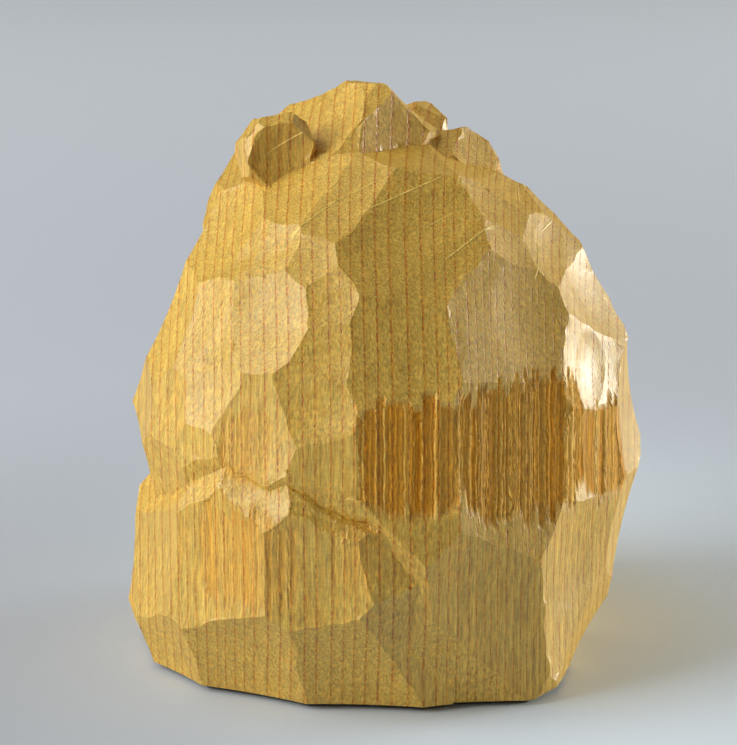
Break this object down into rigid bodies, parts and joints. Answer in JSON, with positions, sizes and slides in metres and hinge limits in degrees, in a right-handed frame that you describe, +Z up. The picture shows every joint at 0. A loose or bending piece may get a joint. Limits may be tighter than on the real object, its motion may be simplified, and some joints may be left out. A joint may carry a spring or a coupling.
{
  "type": "carved wooden figurine",
  "caption": "Seated, hunched bear-like animal cut with gouges from one block of pale ring-porous wood, with round ears and a thin felt pad under its flat base.",
  "frame": {"origin": "centre of the bounding box on the surface that the figure stands on, at the underside of the felt pad", "axes": "+Z up through the animal's crown, -Y the way it looks, +X towards its left side"},
  "size_m": [0.0802, 0.0734, 0.0864],
  "materials": {
    "carved_wood": "bare gouge-cut wood with a slight silky sheen",
    "black_felt": "matt pressed felt"
  },
  "bodies": {
    "root": {"carved_figure": "carved_wood", "felt_pad": "black_felt"}
  },
  "joints": []
}
